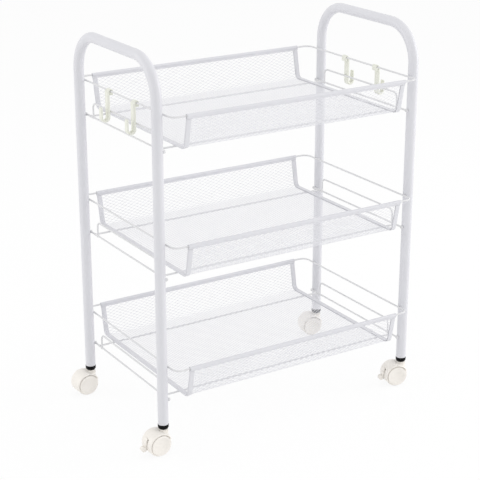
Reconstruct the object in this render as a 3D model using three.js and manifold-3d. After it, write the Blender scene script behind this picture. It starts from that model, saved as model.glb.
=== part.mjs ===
// Three-tier rolling cart: two bent-tube end frames, three mesh trays with hemmed edges,
// four J hooks on the top tray and four hooded twin-wheel casters, the front two with brakes.
// Millimetres, +Z up. X runs between the end frames, -Y is the front, and the floor is z = 0.
import * as THREE from 'three';
import { mergeGeometries, mergeVertices } from 'three/addons/utils/BufferGeometryUtils.js';
import Module from 'manifold-3d';

const wasm = await Module();
wasm.setup();

// Gap between fixed pieces that touch, gap beside a piece that turns, and the distance under
// which two vertices are one
const FIT = 0.3;
const RUNNING_FIT = 0.5;
const MERGE_DISTANCE = 1e-4;

// Sides of the round pieces
const WIRE_SIDES = 8;
const TUBE_SIDES = 12;
const SHAFT_SIDES = 12;
const PIN_SIDES = 10;
const NECK_SIDES = 16;

// End frames
const OVERALL_HEIGHT = 610;
const TUBE_RADIUS = 8;
const TUBE_WALL = 1;
const POST_SPACING_X = 454;
const POST_SPACING_Y = 246;
const POST_FOOT = 47.5;
const HANDLE_BEND = 58;
const HANDLE_BEND_STEPS = 8;

// Trays
const TIERS = ['bottom', 'middle', 'top'];
const TIER_PITCH = 193.5;
const LOWEST_RAIL = 85;
const RIM_ABOVE_RAIL = 54;
const WIRE_RADIUS = 1.75;
const RIM_DEPTH = 294;
const RIM_CORNER = 12;
const LONG_RAIL_SPACING = 214;
const HOOP_LENGTH = 196;
const HOOP_HEIGHT = 23;
const HOOP_BEND = 8;
const EYE_RADIUS = 3.2;

// Mesh troughs and the strips folded over their edges
const TROUGH_LENGTH = 386;
const TROUGH_FLOOR = 274;
const TROUGH_BEND = 9;
const SHEET = 0.8;
const STRIP = 0.8;
const END_BINDING_WIDTH = 8;
const RIM_BINDING_WIDTH = 5;
const MESH_COLUMNS = 6;
const MESH_FLOOR_ROWS = 5;
const MESH_WALL_ROWS = 1;
const MESH_STRAND = 3.5;
const MESH_MARGIN = 2;

// Hooks
const HOOK_PLACE = 41;
const HOOK_WIDTH = 10;
const HOOK_THICKNESS = 4;
const HOOK_CAP = 1.5;
const HOOK_SHOULDER = Math.PI / 4;
const HOOK_LIP = 6;
const HOOK_DROP = 39.5;
const HOOK_MOUTH = 6.5;
const HOOK_TIP_RISE = 9;
const HOOK_TIP_THICKNESS = 2.6;

// Tube plugs
const COLLAR_HEIGHT = 7;
const COLLAR_ROUNDING = 3;
const COLLAR_ROUNDING_STEPS = 3;
const PLUG_RADIUS = 6.4;
const PLUG_HEIGHT = 28;
const PLUG_ROOF = 3;
const PLUG_TIP_INSET = 1;
const PLUG_TIP_HEIGHT = 2;

// Casters, and how far the ones at the right end are turned at rest
const RIGHT_CASTER_TURN = THREE.MathUtils.degToRad(15);
const WHEEL_RADIUS = 18.6;
const WHEEL_SIDES = 24;
const WHEEL_WIDTH = 8.6;
const WHEEL_BORE = 3;
const DISC_RADIUS = 17.2;
const TREAD_CHAMFER = 1.4;
const TRAIL = 11;
const HOOD_RADIUS = 20.6;
const HOOD_WALL = 1.1;
const HOOD_WIDTH = 30;
const HOOD_FRONT = THREE.MathUtils.degToRad(25);
const HOOD_BACK = THREE.MathUtils.degToRad(203);
const HOOD_STEPS = 12;
const WEB_WIDTH = 11;
const NECK_RADIUS = 7.2;
const STEM_RADIUS = 4;
const STEM_FOOT = 20;
const STEM_TIP = 1;
const AXLE_RADIUS = 2.5;
const AXLE_LENGTH = 25;
const AXLE_BOSS = 5.5;

// Brake levers
const LEVER_WIDTH = 9.8;
const LEVER_INNER = 15;
const LEVER_OUTER = 20.3;
const LEVER_START = THREE.MathUtils.degToRad(153);
const LEVER_END = THREE.MathUtils.degToRad(188);
const LEVER_REACH = 28;
const LEVER_TOE = 3;
const LEVER_SLOT_GAP = 0.6;
const PIVOT_RADIUS = 14.5;
const PIVOT_ANGLE = THREE.MathUtils.degToRad(140);
const PIVOT_PIN = 1.4;
const PIVOT_BOSS = 3;
const LUG_WIDTH = 4;
const LUG_HEIGHT = 5;

// Finishes: white powder coat, ivory and black plastic, zinc-plated steel
const POWDER_COAT = { color: 0xf1f1f5, roughness: 0.42, metalness: 0 };
const MESH_COAT = { color: 0xe9e9f0, roughness: 0.5, metalness: 0 };
const IVORY = { color: 0xf1ece2, roughness: 0.38, metalness: 0 };
const HOOK_IVORY = { color: 0xeeeedd, roughness: 0.4, metalness: 0 };
const BLACK = { color: 0x111113, roughness: 0.3, metalness: 0 };
const STEEL = { color: 0xb9bbbe, roughness: 0.35, metalness: 1 };

// Sizes that follow from the ones above
const postX = POST_SPACING_X / 2;
const postY = POST_SPACING_Y / 2;
const sideWireX = postX - TUBE_RADIUS - FIT - WIRE_RADIUS;
const hemHalf = SHEET / 2 + FIT;
const bindingHalf = hemHalf + STRIP;
const hemRadius = WIRE_RADIUS + FIT;
const troughFloorRise = WIRE_RADIUS + FIT + bindingHalf;
const axleHeight = WHEEL_RADIUS;
const wheelInner = WEB_WIDTH / 2 + RUNNING_FIT;
const hoodInner = HOOD_RADIUS - HOOD_WALL;
const collarTop = POST_FOOT - FIT;
const collarFoot = collarTop - COLLAR_HEIGHT;
const plugTop = collarTop + PLUG_HEIGHT;
const brakeReach = postX + TRAIL + LEVER_REACH;
const hoodReach = HOOD_RADIUS * Math.cos(HOOD_FRONT) - TRAIL;
const hoodSide = HOOD_WIDTH / 2;
const turnedReach = hoodReach * Math.cos(RIGHT_CASTER_TURN) + hoodSide * Math.sin(RIGHT_CASTER_TURN);
const rightReach = postX + turnedReach;

// A run of straight lines with round bends at its inner corners, stepped only where it bends.
// A closed run starts and ends in the middle of its first side.
class BentPath extends THREE.Curve {
  constructor(corners, radius, { bendSteps = 4, closed = false } = {}) {
    super();
    this.stations = [];
    const start = closed ? corners[0].clone().lerp(corners[1], 0.5) : corners[0];
    const end = closed ? start : corners.at(-1);
    const bends = closed ? [...corners.slice(1), corners[0]] : corners.slice(1, -1);
    const route = [start, ...bends, end];
    this.addStation(start, route[1].clone().sub(start).normalize());
    bends.forEach((corner, i) => this.addBend(route[i], corner, route[i + 2], radius, bendSteps));
    this.addStation(end, end.clone().sub(route.at(-2)).normalize());
    this.steps = this.stations.length - 1;
  }

  addStation(point, tangent) {
    this.stations.push({ point, tangent });
  }

  addBend(before, corner, after, radius, steps) {
    const incoming = corner.clone().sub(before).normalize();
    const outgoing = after.clone().sub(corner).normalize();
    const turn = incoming.angleTo(outgoing);
    const inward = outgoing.clone().sub(incoming).normalize();
    const centre = corner.clone().addScaledVector(inward, radius / Math.cos(turn / 2));
    const axis = incoming.clone().cross(outgoing).normalize();
    const outward = axis.clone().cross(incoming).negate();
    for (let i = 0; i <= steps; i++) {
      const angle = (turn * i) / steps;
      const spoke = outward.clone().applyAxisAngle(axis, angle).multiplyScalar(radius);
      this.addStation(centre.clone().add(spoke), incoming.clone().applyAxisAngle(axis, angle));
    }
  }

  stationAt(u) {
    return this.stations[Math.round(u * this.steps)];
  }

  getPointAt(u, target = new THREE.Vector3()) {
    return target.copy(this.stationAt(u).point);
  }

  getTangentAt(u, target = new THREE.Vector3()) {
    return target.copy(this.stationAt(u).tangent);
  }
}

// One closed surface: shared vertices, no empty triangles, faces outwards
function watertight(source) {
  const bare = new THREE.BufferGeometry();
  bare.setAttribute('position', source.attributes.position.clone());
  bare.setIndex(source.index);
  const merged = mergeVertices(bare, MERGE_DISTANCE);
  const position = merged.attributes.position;
  const corner = [0, 1, 2].map(() => new THREE.Vector3());
  const kept = [];
  let volume = 0;
  for (let i = 0; i < merged.index.count; i += 3) {
    const ids = [0, 1, 2].map((k) => merged.index.getX(i + k));
    if (new Set(ids).size === 3) {
      ids.forEach((id, k) => corner[k].fromBufferAttribute(position, id));
      volume += corner[0].dot(corner[1].cross(corner[2]));
      kept.push(ids);
    }
  }
  merged.setIndex(kept.flatMap(([a, b, c]) => (volume > 0 ? [a, b, c] : [a, c, b])));
  return merged;
}

function toSolid(geometry) {
  const closed = watertight(geometry);
  const vertProperties = new Float32Array(closed.attributes.position.array);
  const triVerts = new Uint32Array(closed.index.array);
  return new wasm.Manifold(new wasm.Mesh({ numProp: 3, vertProperties, triVerts }));
}

function fromSolid(solid) {
  const mesh = solid.getMesh();
  const geometry = new THREE.BufferGeometry();
  geometry.setAttribute('position', new THREE.BufferAttribute(mesh.vertProperties, 3));
  geometry.setIndex(new THREE.BufferAttribute(mesh.triVerts, 1));
  return geometry;
}

function joined(geometries) {
  return fromSolid(geometries.map(toSolid).reduce((whole, part) => whole.add(part)));
}

function cut(geometry, tools) {
  return fromSolid(tools.map(toSolid).reduce((whole, tool) => whole.subtract(tool), toSolid(geometry)));
}

function piece(name, geometry, finish) {
  const material = new THREE.MeshStandardMaterial({ ...finish, flatShading: true });
  const mesh = new THREE.Mesh(watertight(geometry), material);
  mesh.name = name;
  return mesh;
}

function circle(radius) {
  const shape = new THREE.Shape();
  shape.absarc(0, 0, radius, 0, 2 * Math.PI);
  return shape;
}

function polygon(points) {
  return new THREE.Shape(points.map(([x, y]) => new THREE.Vector2(x, y)));
}

// A section carried along a bent path. On a path in the YZ plane its x runs towards -X, and its y
// across the path within that plane.
function swept(section, path, curveSegments = WIRE_SIDES / 2) {
  const options = { steps: path.steps, extrudePath: path, curveSegments };
  return new THREE.ExtrudeGeometry(section, options);
}

// The same round a closed path, without the two end faces that would meet inside it
function sweptLoop(section, path) {
  const geometry = swept(section, path);
  const walls = geometry.groups[1];
  const positions = geometry.attributes.position.array;
  const loop = new THREE.BufferGeometry();
  const kept = positions.slice(walls.start * 3, (walls.start + walls.count) * 3);
  loop.setAttribute('position', new THREE.BufferAttribute(kept, 3));
  return loop;
}

// An outline in the XZ plane, as seen from the front, made solid over a width centred on y = 0
function plate(outline, width, curveSegments = 4) {
  const options = { depth: width, bevelEnabled: false, curveSegments };
  const geometry = new THREE.ExtrudeGeometry(outline, options);
  return geometry.rotateX(Math.PI / 2).translate(0, width / 2, 0);
}

// A profile of [radius, height] points turned about a vertical axis
function turned(profile, sides) {
  const points = profile.map(([radius, height]) => new THREE.Vector2(radius, height));
  return new THREE.LatheGeometry(points, sides).rotateX(Math.PI / 2);
}

// A round bar along X, Y or Z through a point
function bar(axis, radius, length, sides, [x, y, z]) {
  const geometry = new THREE.CylinderGeometry(radius, radius, length, sides);
  if (axis === 'x') geometry.rotateZ(Math.PI / 2);
  if (axis === 'z') geometry.rotateX(Math.PI / 2);
  return geometry.translate(x, y, z);
}

function roundWire(corners, radius, options) {
  const path = new BentPath(corners, radius, options);
  return options?.closed ? sweptLoop(circle(WIRE_RADIUS), path) : swept(circle(WIRE_RADIUS), path);
}

// One hollow tube: up the front post, over the handle and down the back post
function endFrame() {
  const top = OVERALL_HEIGHT - TUBE_RADIUS;
  const route = [[-postY, POST_FOOT], [-postY, top], [postY, top], [postY, POST_FOOT]];
  const corners = route.map(([y, z]) => new THREE.Vector3(0, y, z));
  const path = new BentPath(corners, HANDLE_BEND, { bendSteps: HANDLE_BEND_STEPS });
  const section = circle(TUBE_RADIUS);
  section.holes.push(circle(TUBE_RADIUS - TUBE_WALL));
  return swept(section, path, TUBE_SIDES / 2);
}

function rimWire() {
  const rimY = RIM_DEPTH / 2;
  const route = [[-sideWireX, -rimY], [sideWireX, -rimY], [sideWireX, rimY], [-sideWireX, rimY]];
  const corners = route.map(([x, y]) => new THREE.Vector3(x, y, RIM_ABOVE_RAIL));
  return roundWire(corners, RIM_CORNER, { closed: true });
}

// Rails, end hoops and fixing eyes, welded into one frame under the mesh
function supportFrame() {
  const parts = [];
  for (const side of [-1, 1]) {
    const x = side * sideWireX;
    const railY = (side * LONG_RAIL_SPACING) / 2;
    const footY = HOOP_LENGTH / 2;
    const hoop = [[-footY, 0], [-footY, HOOP_HEIGHT], [footY, HOOP_HEIGHT], [footY, 0]];
    parts.push(bar('y', WIRE_RADIUS, POST_SPACING_Y, WIRE_SIDES, [x, 0, 0]));
    parts.push(bar('x', WIRE_RADIUS, 2 * sideWireX, WIRE_SIDES, [0, railY, 0]));
    parts.push(bar('x', EYE_RADIUS, 2 * WIRE_RADIUS, SHAFT_SIDES, [x, -postY, 0]));
    parts.push(bar('x', EYE_RADIUS, 2 * WIRE_RADIUS, SHAFT_SIDES, [x, postY, 0]));
    parts.push(roundWire(hoop.map(([y, z]) => new THREE.Vector3(x, y, z)), HOOP_BEND));
  }
  return joined(parts);
}

// The trough's profile in the YZ plane, from rim wire to rim wire, less a length at both ends
function troughPath(shortened) {
  const rim = new THREE.Vector3(0, -RIM_DEPTH / 2, RIM_ABOVE_RAIL);
  const foot = new THREE.Vector3(0, -TROUGH_FLOOR / 2, troughFloorRise);
  const end = rim.clone().addScaledVector(foot.clone().sub(rim).normalize(), shortened);
  const mirrored = ({ y, z }) => new THREE.Vector3(0, -y, z);
  return new BentPath([end, foot, mirrored(foot), mirrored(end)], TROUGH_BEND);
}

// Diamond gaps between the strands of one flat panel, which is given by its centre and its
// direction up the sheet. Odd rows stand half a column over, as slit and stretched sheet does, and
// the diamonds that the panel's edges halve are triangles.
function meshGaps(centre, up, height, rows) {
  const along = new THREE.Vector3(1, 0, 0);
  const through = along.clone().cross(up);
  const length = TROUGH_LENGTH - 2 * (END_BINDING_WIDTH + MESH_MARGIN);
  const columnPitch = length / MESH_COLUMNS;
  const rowPitch = height / rows;
  const strandShare = MESH_STRAND * Math.hypot(1 / columnPitch, 1 / rowPitch);
  const halfLength = (columnPitch / 2) * (1 - strandShare);
  const halfHeight = (rowPitch / 2) * (1 - strandShare);
  const diamond = [[halfLength, 0], [0, halfHeight], [-halfLength, 0], [0, -halfHeight]];
  const punch = { depth: 4 * SHEET, bevelEnabled: false };
  const gaps = [];
  for (let row = -1; row < 2 * rows; row++) {
    const columns = MESH_COLUMNS + Math.abs(row % 2);
    for (let column = 0; column < columns; column++) {
      const shift = (column - (columns - 1) / 2) * columnPitch;
      const rise = ((row - rows + 1) * rowPitch) / 2;
      const inside = diamond.filter(
        ([x, y]) => Math.abs(shift + x) < length / 2 + FIT && Math.abs(rise + y) < height / 2 + FIT,
      );
      if (inside.length > 2) {
        const place = centre.clone().addScaledVector(along, shift).addScaledVector(up, rise);
        const frame = new THREE.Matrix4().makeBasis(along, up, through).setPosition(place);
        const gap = new THREE.ExtrudeGeometry(polygon(inside), punch).translate(0, 0, -punch.depth / 2);
        gaps.push(gap.applyMatrix4(frame));
      }
    }
  }
  return gaps;
}

// One sheet of expanded metal bent into a flared U, solid along its bends and under its hems
function meshTrough() {
  const path = troughPath(hemRadius);
  const sheetHalf = TROUGH_LENGTH / 2 - STRIP - FIT;
  const skin = SHEET / 2;
  const section = polygon([[-sheetHalf, -skin], [sheetHalf, -skin], [sheetHalf, skin], [-sheetHalf, skin]]);
  const bends = path.stations.map(({ point }) => point);
  const wallTop = troughPath(RIM_BINDING_WIDTH).stations[0].point;
  const wallFoot = bends[1];
  const wallUp = wallTop.clone().sub(wallFoot).normalize();
  const wallHeight = wallTop.distanceTo(wallFoot) - 2 * MESH_MARGIN;
  const wallCentre = wallTop.clone().lerp(wallFoot, 0.5);
  const floorCentre = new THREE.Vector3(0, 0, troughFloorRise);
  const floorUp = new THREE.Vector3(0, 1, 0);
  const floorStart = bends[bends.length / 2 - 1];
  const floorDepth = 2 * Math.abs(floorStart.y) - 2 * MESH_MARGIN;
  const mirrored = ({ y, z }) => new THREE.Vector3(0, -y, z);
  const gaps = [
    ...meshGaps(wallCentre, wallUp, wallHeight, MESH_WALL_ROWS),
    ...meshGaps(mirrored(wallCentre), mirrored(wallUp), wallHeight, MESH_WALL_ROWS),
    ...meshGaps(floorCentre, floorUp, floorDepth, MESH_FLOOR_ROWS),
  ];
  return cut(swept(section, path), [mergeGeometries(gaps)]);
}

// A strip folded over the sheet's end: a channel that follows the U and opens towards the tray's middle
function endBinding(side) {
  const width = END_BINDING_WIDTH;
  const fold = [
    [0, -bindingHalf], [width, -bindingHalf], [width, -hemHalf], [STRIP, -hemHalf],
    [STRIP, hemHalf], [width, hemHalf], [width, bindingHalf], [0, bindingHalf],
  ];
  const channel = polygon(fold.map(([inward, across]) => [side * inward, across]));
  const geometry = swept(channel, troughPath(RIM_BINDING_WIDTH + FIT));
  return geometry.translate((side * TROUGH_LENGTH) / 2, 0, 0);
}

// A strip rolled round the rim wire and pinched over the sheet's top edge
function rimBinding(end) {
  const outer = hemRadius + STRIP;
  const outerAngle = -Math.acos(bindingHalf / outer);
  const innerAngle = -Math.acos(hemHalf / hemRadius);
  const section = new THREE.Shape();
  section.moveTo(hemHalf, -RIM_BINDING_WIDTH);
  section.lineTo(bindingHalf, -RIM_BINDING_WIDTH);
  section.absarc(0, 0, outer, outerAngle, Math.PI - outerAngle);
  section.lineTo(-bindingHalf, -RIM_BINDING_WIDTH);
  section.lineTo(-hemHalf, -RIM_BINDING_WIDTH);
  section.absarc(0, 0, hemRadius, Math.PI - innerAngle, innerAngle, true);
  const flare = Math.atan2((RIM_DEPTH - TROUGH_FLOOR) / 2, RIM_ABOVE_RAIL - troughFloorRise);
  return plate(section, TROUGH_LENGTH)
    .rotateZ(Math.PI / 2)
    .rotateX(-end * flare)
    .translate(0, (end * RIM_DEPTH) / 2, RIM_ABOVE_RAIL);
}

// One tray, at the height of its support frame's rails
function tray(tier, level) {
  const group = new THREE.Group();
  group.position.z = level;
  group.add(piece(`${tier}_rim_wire`, rimWire(), POWDER_COAT));
  group.add(piece(`${tier}_support_frame`, supportFrame(), POWDER_COAT));
  group.add(piece(`${tier}_mesh_trough`, meshTrough(), MESH_COAT));
  group.add(piece(`${tier}_left_end_binding`, endBinding(-1), POWDER_COAT));
  group.add(piece(`${tier}_right_end_binding`, endBinding(1), POWDER_COAT));
  group.add(piece(`${tier}_front_rim_binding`, rimBinding(-1), POWDER_COAT));
  group.add(piece(`${tier}_back_rim_binding`, rimBinding(1), POWDER_COAT));
  return group;
}

// A hook that clips over the rim wire at the origin, hangs outside it and turns up away from the tray,
// thinner towards its tip. It is drawn for the right side, with the outside at +X.
function hook() {
  const grip = WIRE_RADIUS + FIT;
  const cap = grip + HOOK_CAP;
  const stemOuter = grip + HOOK_THICKNESS;
  const bowlInner = HOOK_MOUTH / 2;
  const bowlX = stemOuter + bowlInner;
  const bowlOuter = (HOOK_THICKNESS + HOOK_MOUTH + HOOK_TIP_THICKNESS) / 2;
  const tipRadius = HOOK_TIP_THICKNESS / 2;
  const tipZ = HOOK_TIP_RISE - HOOK_DROP;
  const outline = new THREE.Shape();
  outline.moveTo(-cap, -HOOK_LIP);
  outline.lineTo(-grip, -HOOK_LIP);
  outline.absarc(0, 0, grip, Math.PI, 0, true);
  outline.absarc(grip + bowlOuter, -HOOK_DROP, bowlOuter, Math.PI, 2 * Math.PI);
  outline.absarc(bowlX + bowlInner + tipRadius, tipZ, tipRadius, 0, Math.PI);
  outline.absarc(bowlX, -HOOK_DROP, bowlInner, 2 * Math.PI, Math.PI, true);
  outline.lineTo(stemOuter, 0);
  outline.absarc(0, 0, cap, HOOK_SHOULDER, Math.PI);
  return plate(outline, HOOK_WIDTH);
}

// A black insert: a collar with a rounded lower edge, and a plug with the bore that the stem turns in
function tubePlug() {
  const bore = STEM_RADIUS + RUNNING_FIT;
  const boreEnd = plugTop - PLUG_ROOF;
  const profile = [
    [0, plugTop], [PLUG_RADIUS - PLUG_TIP_INSET, plugTop], [PLUG_RADIUS, plugTop - PLUG_TIP_HEIGHT],
    [PLUG_RADIUS, collarTop], [TUBE_RADIUS, collarTop],
  ];
  for (let step = 0; step <= COLLAR_ROUNDING_STEPS; step++) {
    const angle = (step / COLLAR_ROUNDING_STEPS) * (Math.PI / 2);
    const inset = COLLAR_ROUNDING * (1 - Math.cos(angle));
    const drop = COLLAR_ROUNDING * (1 - Math.sin(angle));
    profile.push([TUBE_RADIUS - inset, collarFoot + drop]);
  }
  profile.push([bore, collarFoot], [bore, boreEnd], [0, boreEnd]);
  return turned(profile, SHAFT_SIDES);
}

function casterStem() {
  const top = plugTop - PLUG_ROOF - RUNNING_FIT;
  const profile = [
    [0, top], [STEM_RADIUS - STEM_TIP, top], [STEM_RADIUS, top - STEM_TIP],
    [STEM_RADIUS, STEM_FOOT], [0, STEM_FOOT],
  ];
  return turned(profile, SHAFT_SIDES);
}

// Hood, central web and neck in one moulding. The stem stands at the origin and the axle trails it.
// The neck's foot follows the hood.
function casterBody(braked) {
  const hood = new THREE.Shape();
  hood.absarc(-TRAIL, axleHeight, HOOD_RADIUS, HOOD_FRONT, HOOD_BACK);
  hood.absarc(-TRAIL, axleHeight, hoodInner, HOOD_BACK, HOOD_FRONT, true);
  const webRadius = hoodInner + HOOD_WALL / 2;
  const webEnd = Math.PI - Math.acos(AXLE_BOSS / webRadius);
  const web = new THREE.Shape();
  web.absarc(-TRAIL, axleHeight, webRadius, -HOOD_FRONT, webEnd);
  web.lineTo(-TRAIL - AXLE_BOSS, axleHeight - webRadius * Math.sin(HOOD_FRONT));
  const neckTop = collarFoot - RUNNING_FIT;
  const neckRise = neckTop - axleHeight;
  const neck = bar('z', NECK_RADIUS, neckRise, NECK_SIDES, [0, 0, axleHeight + neckRise / 2]);
  const neckSeat = bar('y', hoodInner + FIT, HOOD_WIDTH, WHEEL_SIDES, [-TRAIL, 0, axleHeight]);
  const boreLength = 2 * axleHeight;
  const parts = [
    plate(hood, HOOD_WIDTH, HOOD_STEPS / 2),
    plate(web, WEB_WIDTH, HOOD_STEPS / 2),
    cut(neck, [neckSeat]),
  ];
  const tools = [
    bar('z', STEM_RADIUS + FIT, boreLength, SHAFT_SIDES, [0, 0, STEM_FOOT - FIT + boreLength / 2]),
    bar('y', AXLE_RADIUS + FIT, 2 * WEB_WIDTH, SHAFT_SIDES, [-TRAIL, 0, axleHeight]),
  ];
  if (braked) {
    const [pivotX, pivotZ] = leverPivot();
    const lug = new THREE.Shape();
    lug.moveTo(-TRAIL, pivotZ - LUG_HEIGHT / 2);
    lug.lineTo(-TRAIL, pivotZ + LUG_HEIGHT / 2);
    lug.absarc(pivotX, pivotZ, PIVOT_BOSS, 0.5 * Math.PI, 1.5 * Math.PI);
    parts.push(plate(lug, LUG_WIDTH));
    tools.push(bar('y', PIVOT_PIN + FIT, 2 * LUG_WIDTH, PIN_SIDES, [pivotX, 0, pivotZ]));
    tools.push(leverSlot());
  }
  return cut(joined(parts), tools);
}

function leverPivot() {
  return [-TRAIL + PIVOT_RADIUS * Math.cos(PIVOT_ANGLE), axleHeight + PIVOT_RADIUS * Math.sin(PIVOT_ANGLE)];
}

// The gap through the back of the hood that a brake lever comes out of
function leverSlot() {
  const slot = new THREE.Shape();
  const start = LEVER_START - LEVER_SLOT_GAP / hoodInner;
  const end = HOOD_BACK + HOOD_WALL / hoodInner;
  slot.absarc(-TRAIL, axleHeight, HOOD_RADIUS + HOOD_WALL, start, end);
  slot.absarc(-TRAIL, axleHeight, hoodInner - HOOD_WALL, end, start, true);
  return plate(slot, LEVER_WIDTH + 2 * LEVER_SLOT_GAP);
}

// A pedal that hangs on the caster body's lug, follows the hood's curve and ends in a rounded toe
function brakeLever() {
  const [pivotX, pivotZ] = leverPivot();
  const shoulder = hoodInner - 2 * FIT;
  const toeTop = Math.PI - Math.asin(LEVER_TOE / LEVER_OUTER);
  const outline = new THREE.Shape();
  outline.absarc(-TRAIL, axleHeight, LEVER_OUTER, LEVER_START, toeTop);
  outline.absarc(-TRAIL - LEVER_REACH + LEVER_TOE, axleHeight, LEVER_TOE, 0.5 * Math.PI, 1.5 * Math.PI);
  outline.absarc(-TRAIL, axleHeight, LEVER_INNER, LEVER_END, LEVER_START, true);
  outline.absarc(pivotX, pivotZ, PIVOT_BOSS, -0.2 * Math.PI, 0.75 * Math.PI);
  outline.lineTo(-TRAIL + shoulder * Math.cos(LEVER_START), axleHeight + shoulder * Math.sin(LEVER_START));
  const fork = bar('y', PIVOT_BOSS + FIT, LUG_WIDTH + 2 * FIT, NECK_SIDES, [pivotX, 0, pivotZ]);
  const pin = bar('y', PIVOT_PIN, LEVER_WIDTH - PIVOT_PIN, PIN_SIDES, [pivotX, 0, pivotZ]);
  return joined([cut(plate(outline, LEVER_WIDTH), [fork]), pin]);
}

function casterAxle() {
  return bar('y', AXLE_RADIUS, AXLE_LENGTH, SHAFT_SIDES, [-TRAIL, 0, axleHeight]);
}

// A moulded wheel with a blind bore from its inner side and a flat disc on its outer side.
// One flat of its tread stands on the floor.
function wheel(side) {
  const rim = WHEEL_RADIUS / Math.cos(Math.PI / WHEEL_SIDES);
  const outer = wheelInner + WHEEL_WIDTH;
  const boreEnd = AXLE_LENGTH / 2 + FIT;
  const profile = [
    [0, outer], [DISC_RADIUS, outer], [rim, outer - TREAD_CHAMFER], [rim, wheelInner],
    [WHEEL_BORE, wheelInner], [WHEEL_BORE, boreEnd], [0, boreEnd],
  ];
  const points = profile.map(([radius, y]) => new THREE.Vector2(radius, side * y));
  const geometry = new THREE.LatheGeometry(points, WHEEL_SIDES, Math.PI / WHEEL_SIDES);
  return geometry.translate(-TRAIL, 0, axleHeight);
}

// One caster with the plug that holds it, under the post at sx, sy
function caster(corner, sx, sy) {
  const group = new THREE.Group();
  group.position.set(sx * postX, sy * postY, 0);
  group.rotation.z = sx > 0 ? -RIGHT_CASTER_TURN : 0;
  const braked = sy < 0;
  group.add(piece(`${corner}_tube_plug`, tubePlug(), BLACK));
  group.add(piece(`${corner}_caster_stem`, casterStem(), STEEL));
  group.add(piece(`${corner}_caster_body`, casterBody(braked), IVORY));
  group.add(piece(`${corner}_caster_axle`, casterAxle(), STEEL));
  group.add(piece(`${corner}_caster_front_wheel`, wheel(-1), IVORY));
  group.add(piece(`${corner}_caster_back_wheel`, wheel(1), IVORY));
  if (braked) group.add(piece(`${corner}_brake_lever`, brakeLever(), IVORY));
  return group;
}

// The origin is on the floor at the middle of the cart's outline, which the trailing brakes lengthen
const cart = new THREE.Group();
cart.position.x = (brakeReach - rightReach) / 2;

for (const [side, sx] of [['left', -1], ['right', 1]]) {
  const frame = piece(`${side}_end_frame`, endFrame(), POWDER_COAT);
  frame.position.x = sx * postX;
  cart.add(frame);
  for (const [place, sy] of [['front', -1], ['back', 1]]) {
    cart.add(caster(`${place}_${side}`, sx, sy));
    const hanger = piece(`${side}_${place}_hook`, hook(), HOOK_IVORY);
    const topRim = LOWEST_RAIL + (TIERS.length - 1) * TIER_PITCH + RIM_ABOVE_RAIL;
    hanger.position.set(sx * sideWireX, sy * HOOK_PLACE, topRim);
    hanger.rotation.z = sx > 0 ? 0 : Math.PI;
    cart.add(hanger);
  }
}
TIERS.forEach((tier, i) => cart.add(tray(tier, LOWEST_RAIL + i * TIER_PITCH)));

export default cart;
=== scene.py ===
"""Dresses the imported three-tier rolling cart with its finished surfaces, light and camera.

Sizes in this file are millimetres in the cart's frame (+Z up, X between the end frames, -Y front).
They become metres when a surface is put into a mesh.
"""

import logging
import math
from dataclasses import dataclass
from enum import Enum
from functools import cache

import bpy
import numpy as np
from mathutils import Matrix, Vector


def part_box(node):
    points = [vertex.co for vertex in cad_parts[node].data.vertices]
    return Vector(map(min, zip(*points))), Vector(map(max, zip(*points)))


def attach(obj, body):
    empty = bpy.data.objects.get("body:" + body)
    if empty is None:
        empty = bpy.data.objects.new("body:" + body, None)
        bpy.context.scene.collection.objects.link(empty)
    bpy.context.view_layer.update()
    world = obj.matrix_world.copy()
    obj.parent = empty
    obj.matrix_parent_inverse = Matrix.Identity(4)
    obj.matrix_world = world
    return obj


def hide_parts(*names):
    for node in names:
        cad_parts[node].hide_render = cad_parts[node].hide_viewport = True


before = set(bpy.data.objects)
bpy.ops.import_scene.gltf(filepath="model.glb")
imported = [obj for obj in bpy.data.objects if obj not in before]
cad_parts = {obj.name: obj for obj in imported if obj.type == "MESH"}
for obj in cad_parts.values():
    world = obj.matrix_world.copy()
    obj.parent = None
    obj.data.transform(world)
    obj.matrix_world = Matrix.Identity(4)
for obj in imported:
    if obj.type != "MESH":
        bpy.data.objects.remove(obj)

log = logging.getLogger("rolling_cart")

METRES = 0.001
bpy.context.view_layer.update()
CART_BODY = "cart_frame"

# Edges of a softly rounded piece that turn by less than this many degrees are shaded smooth
SOFT_CREASE = 60.0


class Tier(Enum):
    """The trays, from the floor up."""

    BOTTOM = "bottom"
    MIDDLE = "middle"
    TOP = "top"


class Direction(Enum):
    """A named direction along one axis, minus or plus one."""

    @property
    def word(self) -> str:
        """The direction's name as the frame's nodes spell it."""
        return self.name.lower()


class Side(Direction):
    """The two end frames, with the direction along X that points away from the cart's middle."""

    LEFT = -1
    RIGHT = 1


class End(Direction):
    """The front and the back, with their direction along Y."""

    FRONT = -1
    BACK = 1


def node_box(node: str) -> tuple[np.ndarray, np.ndarray]:
    """Gives a frame node's box.

    Args:
        node: The node's name.

    Returns:
        The lowest and highest corner, in millimetres.
    """
    low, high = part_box(node)
    return np.array(low) / METRES, np.array(high) / METRES


# Surfaces


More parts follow.
